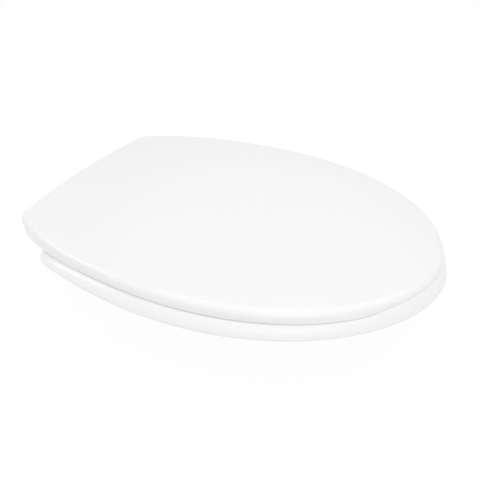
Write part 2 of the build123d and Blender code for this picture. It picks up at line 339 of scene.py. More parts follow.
def rounded_edge(line, normal, radius, surface, steps):
    """Rows of a round edge between a wall under the line and a surface inside it, from the wall upward.

    Returns the rows, the height where the wall ends and the line where the surface starts."""
    radius = np.broadcast_to(radius, len(line))
    inner = line - normal * radius[:, None]
    step = 0.5
    slope = np.arctan((surface(inner) - surface(inner + normal * step)) / step)
    touch = line - normal * (radius * (1 - np.sin(slope)))[:, None]
    centre = surface(touch) - radius * np.cos(slope)
    rows = []
    for share in np.linspace(0, 1, steps):
        turn = share * (math.pi / 2 - slope)
        place = line - normal * (radius * (1 - np.cos(turn)))[:, None]
        rows.append(raised(place, centre + radius * np.sin(turn)))
    return rows, centre, touch


@contextmanager
def opened(mesh):
    """A mesh opened for edits, which are written back at the end."""
    edit = bmesh.new()
    edit.from_mesh(mesh)
    yield edit
    edit.to_mesh(mesh)
    edit.free()


def plain_mesh(name, vertices, faces):
    """A mesh in metres with its faces turned outward."""
    mesh = bpy.data.meshes.new(name)
    mesh.from_pydata((np.asarray(vertices) * MM).tolist(), [], faces)
    with opened(mesh) as edit:
        bmesh.ops.remove_doubles(edit, verts=edit.verts, dist=WELD)
        bmesh.ops.recalc_face_normals(edit, faces=edit.faces)
    return mesh


def loft(name, rows, ends):
    """A skin over closed rows of equal length, whose ends are joined to each other or close to poles."""
    count = len(rows[0])
    vertices = np.vstack(rows)
    faces = []
    last = len(rows) if ends == "joined" else len(rows) - 1
    for r in range(last):
        low, high = r * count, (r + 1) % len(rows) * count
        for k in range(count):
            n = (k + 1) % count
            faces.append((low + k, low + n, high + n, high + k))
    if ends == "poles":
        poles = np.array([rows[0].mean(0), rows[-1].mean(0)])
        vertices = np.vstack([vertices, poles])
        for pole, start in ((len(vertices) - 2, 0), (len(vertices) - 1, (len(rows) - 1) * count)):
            faces += [(start + k, start + (k + 1) % count, pole) for k in range(count)]
    return plain_mesh(name, vertices, faces)


def placed(name, data):
    """A new object in the scene for a mesh, a lamp or a camera."""
    made = bpy.data.objects.new(name, data)
    bpy.context.scene.collection.objects.link(made)
    return made


def shade_smooth(mesh):
    """Smooth faces between the edges that stay sharp."""
    mesh.polygons.foreach_set("use_smooth", [True] * len(mesh.polygons))
    mesh.set_sharp_from_angle(angle=math.radians(SHARP))


def dress(mesh, material):
    """One material and smooth faces for a whole mesh."""
    mesh.materials.clear()
    mesh.materials.append(material)
    shade_smooth(mesh)


def new_piece(name, mesh, material):
    """An object for a finished mesh in one material."""
    piece = placed(name, mesh)
    dress(mesh, material)
    return piece


def evaluated(piece):
    """The piece's mesh with its modifiers applied, in their place."""
    mesh = bpy.data.meshes.new_from_object(piece.evaluated_get(bpy.context.evaluated_depsgraph_get()))
    piece.modifiers.clear()
    piece.data = mesh
    return mesh


def soften(piece, width):
    """Makes the piece's flat faces whole and rounds its sharp edges by a width."""
    with opened(piece.data) as edit:
        bmesh.ops.remove_doubles(edit, verts=edit.verts, dist=WELD)
        bmesh.ops.dissolve_degenerate(edit, edges=edit.edges, dist=WELD)
        bmesh.ops.dissolve_limit(edit, angle_limit=math.radians(FLAT), verts=edit.verts, edges=edit.edges)
    round_edges = piece.modifiers.new("round_edges", "BEVEL")
    round_edges.width = width * MM
    round_edges.segments = BEVEL_STEPS
    round_edges.limit_method = "ANGLE"
    round_edges.angle_limit = math.radians(SHARP)
    round_edges.use_clamp_overlap = True
    mesh = evaluated(piece)
    with opened(mesh) as edit:
        bmesh.ops.dissolve_degenerate(edit, edges=edit.edges, dist=SLIVER)
    shade_smooth(mesh)


def united(name, base, others, material):
    """One closed piece from a base mesh and the meshes that grow out of it."""
    piece = new_piece(name, base, material)
    for k, other in enumerate(others):
        tool = placed(f"{name}_grown_{k}", other)
        joint = piece.modifiers.new("grown", "BOOLEAN")
        joint.operation = "UNION"
        joint.solver = "EXACT"
        joint.object = tool
        evaluated(piece)
        bpy.data.objects.remove(tool)
    dress(piece.data, material)
    return piece


# Geometry Nodes

def node_group(name, sizes):
    """An empty tree with a geometry, a finish and the named sizes as inputs, and the output of its inputs."""
    group = bpy.data.node_groups.new(name, "GeometryNodeTree")
    group.interface.new_socket("Geometry", in_out="INPUT", socket_type="NodeSocketGeometry")
    for label in sizes:
        kind = "NodeSocketInt" if label == "Count" else "NodeSocketFloat"
        group.interface.new_socket(label, in_out="INPUT", socket_type=kind)
    group.interface.new_socket("Finish", in_out="INPUT", socket_type="NodeSocketMaterial")
    group.interface.new_socket("Geometry", in_out="OUTPUT", socket_type="NodeSocketGeometry")
    return group, group.nodes.new("NodeGroupInput").outputs


def fill(tree, node, inputs):
    """Sets or links a node's inputs; a list holds several links to one input."""
    for key, value in inputs.items():
        for item in value if isinstance(value, list) else [value]:
            if isinstance(item, bpy.types.NodeSocket):
                tree.links.new(item, node.inputs[key])
            else:
                node.inputs[key].default_value = item


def grown_node(tree, kind, inputs, output=0, **settings):
    """A node with its settings made and its inputs set or linked, and the output asked for."""
    made = tree.nodes.new(kind)
    for key, value in settings.items():
        setattr(made, key, value)
    fill(tree, made, inputs)
    return made.outputs[output]


def math_node(tree, operation, a, b):
    """The result of an operation on two values."""
    return grown_node(tree, "ShaderNodeMath", {0: a, 1: b}, operation=operation)


def place_node(group, x=0.0, y=0.0, z=0.0):
    """A place from its three lengths."""
    return grown_node(group, "ShaderNodeCombineXYZ", {"X": x, "Y": y, "Z": z})


def close_group(group, geometry, finish):
    """Ends a tree: instances made real, and the finish set."""
    real = grown_node(group, "GeometryNodeRealizeInstances", {"Geometry": geometry})
    done = grown_node(group, "GeometryNodeSetMaterial", {"Geometry": real, "Material": finish})
    group.links.new(done, group.nodes.new("NodeGroupOutput").inputs[0])
    return group


def apply_group(piece, group, finish, sizes):
    """Gives the piece its mesh after the tree, with the tree's inputs set by their identifiers."""
    stage = piece.modifiers.new(group.name, "NODES")
    stage.node_group = group
    values = {**sizes, "Finish": finish}
    for item in group.interface.items_tree:
        if item.in_out == "INPUT" and item.name in values:
            stage[item.identifier] = values[item.name]
    evaluated(piece)


def thread_group():
    """A ridge of even pitch wound round an upright rod, which it joins."""
    group, given = node_group("screw_thread", ("Across", "Low", "Length", "Pitch", "Radius", "Depth"))
    turns = math_node(group, "DIVIDE", given["Length"], given["Pitch"])
    middle = math_node(group, "SUBTRACT", given["Radius"], math_node(group, "MULTIPLY", given["Depth"], 0.5))
    spiral = grown_node(group, "GeometryNodeCurveSpiral", {
        "Resolution": SPIRAL_POINTS, "Rotations": turns, "Start Radius": middle, "End Radius": middle,
        "Height": given["Length"], "Reverse": True})
    upright = grown_node(group, "GeometryNodeSetCurveNormal", {"Curve": spiral}, mode="Z_UP")
    ridge = grown_node(group, "GeometryNodeCurvePrimitiveQuadrilateral", {
        "Bottom Width": math_node(group, "MULTIPLY", given["Pitch"], THREAD_ROOT),
        "Top Width": math_node(group, "MULTIPLY", given["Pitch"], THREAD_CREST),
        "Offset": 0.0, "Height": given["Depth"]}, mode="TRAPEZOID")
    turned = grown_node(group, "GeometryNodeTransform", {
        "Geometry": ridge, "Rotation": (0, 0, THREAD_FACING)})
    wound = grown_node(group, "GeometryNodeCurveToMesh", {
        "Curve": upright, "Profile Curve": turned, "Fill Caps": True})
    place = place_node(group, given["Across"], 0.0, given["Low"])
    moved = grown_node(group, "GeometryNodeTransform", {"Geometry": wound, "Translation": place})
    both = grown_node(group, "GeometryNodeJoinGeometry", {"Geometry": [given["Geometry"], moved]})
    return close_group(group, both, given["Finish"])


def rib_group():
    """Ribs that stand across a channel, spread evenly round a middle and trimmed to the channel's form."""
    group, given = node_group("channel_ribs", ("Count", "Thick", "Near", "Far", "Ahead", "Tall"))
    long = math_node(group, "SUBTRACT", given["Far"], given["Near"])
    middle = math_node(group, "MULTIPLY", math_node(group, "ADD", given["Far"], given["Near"]), 0.5)
    ring = grown_node(group, "GeometryNodeMeshCircle", {"Vertices": given["Count"], "Radius": middle})
    half_step = math_node(group, "DIVIDE", math.pi, given["Count"])
    turned = grown_node(group, "GeometryNodeTransform", {
        "Geometry": ring, "Rotation": place_node(group, z=half_step)})
    plate = grown_node(group, "GeometryNodeMeshCube", {
        "Size": place_node(group, long, given["Thick"], given["Tall"])})
    facing = grown_node(group, "FunctionNodeAlignRotationToVector", {
        "Vector": grown_node(group, "GeometryNodeInputPosition", {})}, axis="X")
    plates = grown_node(group, "GeometryNodeInstanceOnPoints", {
        "Points": turned, "Instance": plate, "Rotation": facing})
    solid = grown_node(group, "GeometryNodeRealizeInstances", {"Geometry": plates})
    moved = grown_node(group, "GeometryNodeTransform", {
        "Geometry": solid, "Translation": place_node(group, y=given["Ahead"])})
    trimmed = grown_node(group, "GeometryNodeMeshBoolean", {"Mesh 2": [given["Geometry"], moved]},
                         operation="INTERSECT", solver="EXACT")
    return close_group(group, trimmed, given["Finish"])


def grip_group():
    """Upright ridges in a row on both faces of both wings of a nut, which they join."""
    group, given = node_group("wing_grips", (
        "Count", "Across", "Low", "Tall", "Radius", "Near", "Far", "Face"))
    span = math_node(group, "SUBTRACT", given["Far"], given["Near"])
    step = math_node(group, "DIVIDE", span, math_node(group, "SUBTRACT", given["Count"], 1.0))
    bar = grown_node(group, "GeometryNodeCurvePrimitiveLine", {"End": place_node(group, z=given["Tall"])})
    round_bar = grown_node(group, "GeometryNodeCurvePrimitiveCircle", {
        "Resolution": GRIP_POINTS, "Radius": given["Radius"]})
    ridge = grown_node(group, "GeometryNodeCurveToMesh", {
        "Curve": bar, "Profile Curve": round_bar, "Fill Caps": True})
    rows = []
    for face in (given["Face"], math_node(group, "MULTIPLY", given["Face"], -1.0)):
        row = grown_node(group, "GeometryNodeMeshLine", {
            "Count": given["Count"], "Start Location": place_node(group, given["Near"], face),
            "Offset": place_node(group, step)}, mode="OFFSET")
        ridges = grown_node(group, "GeometryNodeInstanceOnPoints", {"Points": row, "Instance": ridge})
        turned = grown_node(group, "GeometryNodeTransform", {"Geometry": ridges, "Rotation": (0, 0, math.pi)})
        rows += [ridges, turned]
    all_sides = grown_node(group, "GeometryNodeJoinGeometry", {"Geometry": rows})
    moved = grown_node(group, "GeometryNodeTransform", {
        "Geometry": all_sides, "Translation": place_node(group, given["Across"], 0.0, given["Low"])})
    both = grown_node(group, "GeometryNodeJoinGeometry", {"Geometry": [given["Geometry"], moved]})
    return close_group(group, both, given["Finish"])


# Materials

def node_tree(name):
    """A new material, its tree, its shader and the place on the piece that its textures read."""
    material = bpy.data.materials.new(name)
    material.use_nodes = True
    tree = material.node_tree
    return material, tree, tree.nodes["Principled BSDF"], grown_node(tree, "ShaderNodeTexCoord", {}, "Object")


def noise(tree, place, scale, detail):
    """A cloudy share over the piece."""
    return grown_node(tree, "ShaderNodeTexNoise", {"Vector": place, "Scale": scale, "Detail": detail}, "Fac")


def tint(tree, share, light, dark):
    """A colour between two."""
    colours = {"Factor": share, "A": (*dark, 1), "B": (*light, 1)}
    return grown_node(tree, "ShaderNodeMix", colours, "Result", data_type="RGBA")


def between(tree, share, low, high):
    """A value between two."""
    return grown_node(tree, "ShaderNodeMapRange", {"Value": share, "To Min": low, "To Max": high}, "Result")


def relief(tree, share, strength, depth):
    """A fine relief that turns the surface's normals."""
    heights = {"Height": share, "Strength": strength, "Distance": depth}
    return grown_node(tree, "ShaderNodeBump", heights, "Normal")


def moulded_plastic(name, light, dark, gloss, ripple):
    """Glossy moulded plastic: faint flow marks in its colour and gloss, and a fine orange peel."""
    material, tree, shader, place = node_tree(name)
    flow = noise(tree, place, scale=9.0, detail=3.0)
    haze = noise(tree, place, scale=60.0, detail=5.0)
    peel = noise(tree, place, scale=420.0, detail=2.0)
    fill(tree, shader, {
        "Base Color": tint(tree, flow, light, dark),
        "Roughness": between(tree, haze, low=gloss - 0.03, high=gloss + 0.05),
        "Normal": relief(tree, peel, strength=ripple, depth=0.0002),
        "IOR": 1.49,
    })
    return material


def soft_rubber(name, light, dark):
    """Soft matt gasket rubber with a dusty bloom."""
    material, tree, shader, place = node_tree(name)
    bloom = noise(tree, place, scale=220.0, detail=6.0)
    grain = noise(tree, place, scale=1800.0, detail=2.0)
    fill(tree, shader, {
        "Base Color": tint(tree, bloom, light, dark),
        "Roughness": 0.6,
        "Normal": relief(tree, grain, strength=0.25, depth=0.0001),
    })
    return material


def drawn_steel(name, light, dark):
    """Drawn stainless bar: fine lines along its length in colour, gloss and relief."""
    material, tree, shader, place = node_tree(name)
    along = grown_node(tree, "ShaderNodeMapping", {"Vector": place, "Scale": (30.0, 2500.0, 2500.0)})
    lines = noise(tree, along, scale=1.0, detail=4.0)
    fill(tree, shader, {
        "Base Color": tint(tree, lines, light, dark),
        "Metallic": 1.0,
        "Roughness": between(tree, lines, low=0.22, high=0.42),
        "Normal": relief(tree, lines, strength=0.15, depth=0.0001),
    })
    return material


seat_white = moulded_plastic("seat_white", (0.9, 0.9, 0.895), (0.885, 0.886, 0.88), gloss=0.16, ripple=0.03)
hinge_white = moulded_plastic(
    "hinge_white", (0.87, 0.87, 0.862), (0.85, 0.85, 0.842), gloss=0.24, ripple=0.06)
fixing_nylon = moulded_plastic(
    "fixing_nylon", (0.82, 0.815, 0.775), (0.76, 0.755, 0.71), gloss=0.38, ripple=0.12)
buffer_rubber = soft_rubber("buffer_rubber", (0.8, 0.8, 0.775), (0.74, 0.74, 0.71))
pad_rubber = soft_rubber("pad_rubber", (0.72, 0.72, 0.7), (0.63, 0.63, 0.61))
pin_steel = drawn_steel("pin_steel", (0.68, 0.68, 0.67), (0.5, 0.5, 0.49))


# Lid

def nose_share(line):
    """How far points lie towards the nose, where the seam closes up: 0 along the sides, 1 at the nose."""
    return smooth_step((CLOSING_Y - line[:, 1]) / CLOSING_RUN)


def lid_mesh():
    """The lid's shell: crowned top, soft shoulder, wall, rounded rim and the hollow inside."""
    line = evenly(whole_plan(half_plan(0)), LID_POINTS)
    normal = outward(line)
    radius = LID_SHOULDER - SHOULDER_TIGHTER * smooth_step((line[:, 1] - WIDEST_Y) / SHOULDER_RUN)
    shoulder, wall_top, touch = rounded_edge(line, normal, radius, crown, SHOULDER_ROWS)
    hollow_top = wall_top + radius - LID_SHOULDER
    hollow_round = LID_SHOULDER - LID_WALL
    hollow_line = line - normal * LID_WALL
    hollow_edge = line - normal * LID_SHOULDER
    middle = np.array((0, -CROWN_AHEAD))
    rim = seam(line, RIM_HEIGHT - CLOSING_DROP * nose_share(line))
    notch = smooth_step((NOTCH_HALF + NOTCH_RUN - np.abs(line[:, 0])) / NOTCH_RUN) * (line[:, 1] > 0)
    rim = rim + (NOTCH_HEIGHT - rim) * notch
    edge = np.minimum(RIM_ROUND, RIM_SHARE * (wall_top - rim))
    inset = normal * edge[:, None]
    tuck = np.minimum(WALL_DRAFT * (wall_top - rim), TUCK_LIMIT) * (1 - nose_share(line))
    tuck = normal * tuck[:, None]

    rows = []
    for share in np.linspace(*CROWN_SHARES, CROWN_ROWS):
        place = middle + (touch - middle) * share
        rows.append(raised(place, crown(place)))
    rows += shoulder[::-1]
    for share in np.linspace(0, 1, WALL_ROWS)[1:-1]:
        rows.append(raised(line - tuck * share**TUCK_BOW, wall_top + (rim + edge - wall_top) * share))
    for turn in np.linspace(0, math.pi / 2, EDGE_ROWS):
        place = line - tuck - inset * (1 - math.cos(turn))
        rows.append(raised(place, rim + edge * (1 - math.sin(turn))))
    for turn in np.linspace(math.pi / 2, 0, EDGE_ROWS):
        place = hollow_line + inset * (1 - math.cos(turn))
        rows.append(raised(place, rim + edge * (1 - math.sin(turn))))
    rows.append(raised(hollow_line, rim + edge + (hollow_top - rim - edge) * 0.5))
    for turn in np.linspace(0, math.pi / 2, HOLLOW_ROWS):
        place = line - normal * (LID_SHOULDER - hollow_round * math.cos(turn))
        rows.append(raised(place, hollow_top + hollow_round * math.sin(turn)))
    for share in np.linspace(*CEILING_SHARES, CEILING_ROWS):
        place = middle + (hollow_edge - middle) * share
        rows.append(raised(place, crown(place, LID_WALL)))
    return loft("lid_shell", rows, "poles")


def round_rays(count):
    """Unit rays in even steps round a full turn."""
    turns = np.linspace(0, 2 * math.pi, count, endpoint=False)
    return np.column_stack([np.cos(turns), np.sin(turns)])


def lever(name, side, near, spread):
    """A hinge arm round the pivot: its outline is the hull of the knuckle and two spread points."""
    ray = round_rays(LEVER_POINTS)
    knuckle = ray * KNUCKLE_RADIUS
    hull = convex(np.vstack([knuckle, np.array(spread) - (PIVOT_Y, PIVOT_Z)]))
    reach = np.full(LEVER_POINTS, np.inf)
    for a, b in zip(hull, np.roll(hull, -1, 0)):
        edge = b - a
        out = np.array((edge[1], -edge[0]))
        facing = ray @ out
        with np.errstate(divide="ignore"):
            far = np.where(facing > LEAST_FACING, (a @ out) / facing, np.inf)
        reach = np.minimum(reach, far)
    rows = []
    near_side = []
    for turn in np.linspace(0, math.pi / 2, EDGE_ROWS):
        near_side.append((ARM_ROUND * (1 - math.cos(turn)), ARM_ROUND * (1 - math.sin(turn))))
    far_side = [(ARM_WIDTH - x, inset) for x, inset in near_side[::-1]]
    for x, inset in [(0, None)] + near_side + far_side + [(ARM_WIDTH, None)]:
        radius = np.full(LEVER_POINTS, PIN_BORE) if inset is None else reach - inset
        place = ray * radius[:, None] + (PIVOT_Y, PIVOT_Z)
        rows.append(np.column_stack([np.full(LEVER_POINTS, side * (near + x)), place]))
    return loft(name, rows, "joined")


def convex(points):
    """Counter-clockwise hull of plan points."""
    points = points[np.lexsort((points[:, 1], points[:, 0]))]
    halves = []
    for order in (points, points[::-1]):
        chain = []
        for p in order:
            while len(chain) > 1:
                a, b = chain[-1] - chain[-2], p - chain[-1]
                if a[0] * b[1] - a[1] * b[0] > 0:
                    break
                chain.pop()
            chain.append(p)
        halves.append(chain[:-1])
    return np.array(halves[0] + halves[1])


def lathe(name, x, y, profile):
    """A turned shape about an upright axis at x, y, from (radius, height) places."""
    ray = round_rays(LATHE_POINTS)
    return loft(name, [raised(ray * radius + (x, y), height) for radius, height in profile], "poles")


def corner_round(radius, height, size, start, end, steps):
    """Places round a profile's corner with its centre at radius, height."""
    turns = np.radians(np.linspace(start, end, steps))
    return [(radius + size * math.cos(t), height + size * math.sin(t)) for t in turns]


def boss(name, x, y, low, high):
    """A round boss under a skin with the bore for a buffer's peg."""
    bore = PEG_RADIUS + PEG_CLEARANCE
    deep = low + PEG_LENGTH + PEG_CLEARANCE
    edge = corner_round(BOSS_RADIUS - BOSS_EDGE, low + BOSS_EDGE, BOSS_EDGE, -90, 0, SMALL_ROWS)
    return lathe(name, x, y, [(bore, deep), (bore, low)] + edge + [(BOSS_RADIUS, high)])


def on_band(turn):
    """Place on the middle of the ring's band, at an angle seen from the middle of its opening."""
    angle = math.radians(turn)
    return BAND_HALF_WIDTH * math.cos(angle), OPENING_Y + BAND_HALF_LENGTH * math.sin(angle)


def buffer(name, x, y, low, high):
    """A soft foot with a rounded tread, a thin waist and the peg that holds it."""
    dish = [(radius, low + rise) for radius, rise in TREAD_DISH]
    tread = corner_round(BUFFER_RADIUS - BUFFER_EDGE, low + BUFFER_EDGE, BUFFER_EDGE, -90, 0, EDGE_ROWS)
    thin = BUFFER_RADIUS - WAIST_DEPTH
    widths = (BUFFER_RADIUS, thin, thin, BUFFER_RADIUS)
    waist = [(radius, high - drop) for radius, drop in zip(widths, WAIST_DROPS)]
    flange = corner_round(BUFFER_RADIUS - FLANGE_EDGE, high - FLANGE_EDGE, FLANGE_EDGE, 0, 90, SMALL_ROWS)
    peg_top = high + PEG_LENGTH
    peg = [(PEG_RADIUS, high), (PEG_RADIUS, peg_top - PEG_TIP), (PEG_RADIUS - PEG_TIP, peg_top)]
    return lathe(name, x, y, dish + tread + waist + flange + peg)


def mounted(piece, body, slot, *nodes):
    """Sets a finished piece on its body in place of the solids it stands for."""
    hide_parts(*nodes)
    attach(piece, body)


lug_top = float(crown(np.array([(LUG_INNER + ARM_WIDTH, PIVOT_Y)]), LID_WALL / 2)[0])
lug_spread = [(PIVOT_Y - 2 * KNUCKLE_RADIUS, lug_top), (PIVOT_Y - LUG_LEAN, lug_top)]
grown = [lever("lug", side, LUG_INNER, lug_spread) for side in SIDES.values()]
for turn in LID_BUFFER_TURNS.values():
    x, y = on_band(turn)
    skin = float(crown(np.array([(x, y)]), LID_WALL / 2)[0])
    grown += [boss("boss", side * x, y, LID_BOSS_LOW, skin) for side in SIDES.values()]
mounted(united("lid_shell", lid_mesh(), grown, seat_white), "cover", "lid_plastic", "lid")


# Ring

def ring_line(height, count):
    """Outline of the ring at a height: the lid's plan moved out, cut straight behind, with round corners."""
    share = (height - RING_LOW) / (RING_TOP - RING_LOW)
    half = half_plan(RING_OVERHANG - share * RING_LEAN, RING_OVERHANG - share * RING_REAR_LEAN)
    whole = whole_plan(half)
    normal = outward(whole)[-len(half):][::-1]
    inner = half - normal * RING_CORNER
    level = RING_REAR - RING_CORNER
    first = int(np.argmax(inner[:, 1] < level))
    share = (inner[first - 1, 1] - level) / (inner[first - 1, 1] - inner[first, 1])
    centre = inner[first - 1] + (inner[first] - inner[first - 1]) * share
    end = math.atan2(*(half[first] - centre)[::-1])
    turns = np.linspace(math.pi / 2, end, CORNER_STEPS, endpoint=False)
    arc = centre + RING_CORNER * np.column_stack([np.cos(turns), np.sin(turns)])
    across = np.linspace(0, centre[0], REAR_STEPS, endpoint=False)
    rear = np.column_stack([across, np.full(REAR_STEPS, RING_REAR)])
    return evenly(whole_plan(np.vstack([rear, arc, half[first:]])), count)


def opening_line(line):
    """Points of the oval opening on the rays from its middle to the outline, and its inward normals."""
    ray = line - (0, OPENING_Y)
    size = np.hypot(ray[:, 0] / OPENING_HALF_WIDTH, ray[:, 1] / OPENING_HALF_LENGTH)
    place = ray / size[:, None]
    normal = -place / (OPENING_HALF_WIDTH**2, OPENING_HALF_LENGTH**2)
    normal /= np.linalg.norm(normal, axis=1)[:, None]
    return place + (0, OPENING_Y), normal


def foot_rows(line, normal, lean, edge, rise):
    """Rows of a wall's rounded foot, from the channel's roof down and out to the wall's face."""
    deep = line - normal * RING_WALL
    rows = []
    roof = seam(deep, RING_TOP - RING_SKIN)
    high = deep + lean * (roof - RING_LOW)[:, None]
    for turn in np.linspace(math.pi / 2, 0, SMALL_ROWS):
        place = high - normal * CHANNEL_ROUND * (1 - math.cos(turn))
        rows.append(raised(place, roof - CHANNEL_ROUND * (1 - math.sin(turn))))
    for turn in np.linspace(0, math.pi / 2, FOOT_INNER_ROWS):
        place = deep + normal * FOOT_INNER * (1 - math.cos(turn))
        rows.append(raised(place, RING_LOW + FOOT_INNER * (1 - math.sin(turn))))
    for turn in np.linspace(math.pi / 2, 0, FOOT_ROWS):
        place = line - normal * edge * (1 - math.cos(turn))
        rows.append(raised(place, RING_LOW + rise * (1 - math.sin(turn))))
    return rows


def swelling_face(line, normal, lean, surface):
    """Rows of the ring's outer face, which leans in and swells softly, and the line where its top starts."""
    high = surface(line)
    edge = RING_EDGE + (CLOSING_EDGE - RING_EDGE) * nose_share(line)
    inner = line + lean * (high - RING_LOW)[:, None] - normal * edge[:, None]
    top = surface(inner)
    foot = RING_LOW + FOOT_RISE
    rows = []
    for turn in np.linspace(0, math.pi / 2, FACE_ROWS)[1:]:
        inward = 1 - math.cos(turn) ** (2 / RING_SWELL)
        upward = math.sin(turn) ** (2 / RING_SWELL)
        rows.append(raised(line + (inner - line) * inward, foot + (top - foot) * upward))
    return rows, inner


def ring_lines():
    """The ring's lower outline with its normals and its lean, and the opening with its normals."""
    line = ring_line(RING_LOW, RING_POINTS)
    lean = (ring_line(RING_TOP, RING_POINTS) - line) / (RING_TOP - RING_LOW)
    return line, outward(line), lean, *opening_line(line)


def ring_mesh():
    """The ring's shell: leaning wall, soft outer edge, band, rounded opening and the channel below."""
    line, normal, lean, hole, inward = ring_lines()
    upright = np.zeros_like(hole)

    def top(points):
        """Height of the ring's top."""
        return seam(points, RING_TOP)

    outer, outer_touch = swelling_face(line, normal, lean, top)
    inner, _, inner_touch = rounded_edge(hole, inward, OPENING_EDGE, top, OPENING_ROWS)
    band = []
    for share in np.linspace(0, 1, BAND_ROWS)[1:-1]:
        place = outer_touch + (inner_touch - outer_touch) * share
        band.append(raised(place, top(place)))
    outer_foot = foot_rows(line, normal, lean, FOOT_EDGE, FOOT_RISE)
    inner_foot = foot_rows(hole, inward, upright, OPENING_FOOT, OPENING_FOOT)
    roof = []
    near, far = inner_foot[0][:, :2], outer_foot[0][:, :2]
    for share in np.linspace(0, 1, ROOF_ROWS)[1:-1]:
        place = near + (far - near) * share
        roof.append(raised(place, seam(place, RING_TOP - RING_SKIN)))
    rows = outer_foot + outer + band + inner[::-1] + inner_foot[::-1] + roof
    return loft("seat_band", rows, "joined")


arm_end = RING_REAR - RING_WALL + ARM_SETBACK
arm_top = float(seam(np.array([(0, arm_end)]), RING_TOP)[0]) - ARM_SETBACK
arm_spread = [(arm_end, arm_top), (arm_end, RING_LOW + ARM_SETBACK)]
grown = [lever("arm", side, ARM_INNER, arm_spread) for side in SIDES.values()]
for turn in RING_BUFFER_TURNS.values():
    x, y = on_band(turn)
    skin = float(seam(np.array([(x, y)]), RING_TOP - RING_SKIN / 2)[0])
    grown += [boss("boss", side * x, y, RING_LOW, skin) for side in SIDES.values()]
mounted(united("seat_band", ring_mesh(), grown, seat_white), "seat", "ring_plastic", "seat_ring")

for body, kind, turns, low, high in (
    ("seat", "ring_buffer", RING_BUFFER_TURNS, 0.0, RING_LOW),
    ("cover", "lid_buffer", LID_BUFFER_TURNS, RING_TOP + BUFFER_REST, LID_BOSS_LOW),
):
    for where, turn in turns.items():
        for side_name, side in SIDES.items():
            x, y = on_band(turn)
            node = f"{kind}_{where}_{side_name}"
            foot = new_piece(node + "_foot", buffer(node, side * x, y, low, high), buffer_rubber)
            mounted(foot, body, "buffer_rubber", node)


def rib_space():
    """The ring's channel as a closed form that reaches into its walls and its skin."""
    line, normal, lean, hole, inward = ring_lines()
    outer = line - normal * RING_WALL / 2
    inner = hole - inward * RING_WALL / 2
    low = RING_LOW + RIB_DROP
    top = seam(outer, RING_TOP - RING_SKIN / 2)
    high = outer + lean * (top - RING_LOW)[:, None]
    rows = [raised(inner, low), raised(outer, low)]
    for share in np.linspace(0, 1, RIB_ROWS):
        place = high + (inner - high) * share
        rows.append(raised(place, seam(place, RING_TOP - RING_SKIN / 2)))
    return loft("rib_space", rows, "joined")


rib_sizes = {
    "Count": RIB_COUNT, "Thick": RIB_THICK * MM, "Near": RIB_NEAR * MM, "Far": RIB_FAR * MM,
    "Ahead": OPENING_Y * MM, "Tall": RIB_TALL * MM,
}
ribs = new_piece("ring_ribs", rib_space(), seat_white)
apply_group(ribs, rib_group(), seat_white, rib_sizes)
soften(ribs, RIB_EDGE)
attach(ribs, "seat")


# Hinges and fixings

def bolt_mesh(name, x):
    """A bolt's round head, square neck, shank and the core under its thread."""
    ray = round_rays(BOLT_POINTS)
    square = NECK_HALF / np.maximum(np.abs(ray[:, 0]), np.abs(ray[:, 1]))
    square = np.minimum(square, NECK_HALF * NECK_REACH)
    core = THREAD_RADIUS - THREAD_DEPTH + CORE_BITE
    end = -SHANK_LENGTH - THREAD_LENGTH
    half = HEAD_HEIGHT / 2
    profile = [(HEAD_FLAT, BASE_TOP + HEAD_HEIGHT)]
    profile += corner_round(HEAD_RADIUS - half, BASE_TOP + half, half, 90, 0, HEAD_ROWS)
    profile += [(HEAD_RADIUS, BASE_TOP + NECK_STEP), (square, BASE_TOP), (square, NECK_STEP)]
    profile += [(SHANK_RADIUS, 0.0), (SHANK_RADIUS, -SHANK_LENGTH + SHANK_END)]
    profile += [(core, -SHANK_LENGTH - CORE_START), (core, end + TIP_LENGTH)]
    profile += [(core - TIP_DRAW, end + TIP_STEP), (TIP_RADIUS, end)]
    rows = []
    for radius, height in profile:
        reach = np.broadcast_to(radius, BOLT_POINTS)[:, None]
        rows.append(raised(ray * reach + (x, 0), height))
    return loft(name, rows, "poles")


def softened(node, material, width, name):
    """A copy of a solid's mesh with its flat faces whole and its edges rounded, in the solid's place."""
    piece = new_piece(name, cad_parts[node].data.copy(), material)
    soften(piece, width)
    return piece


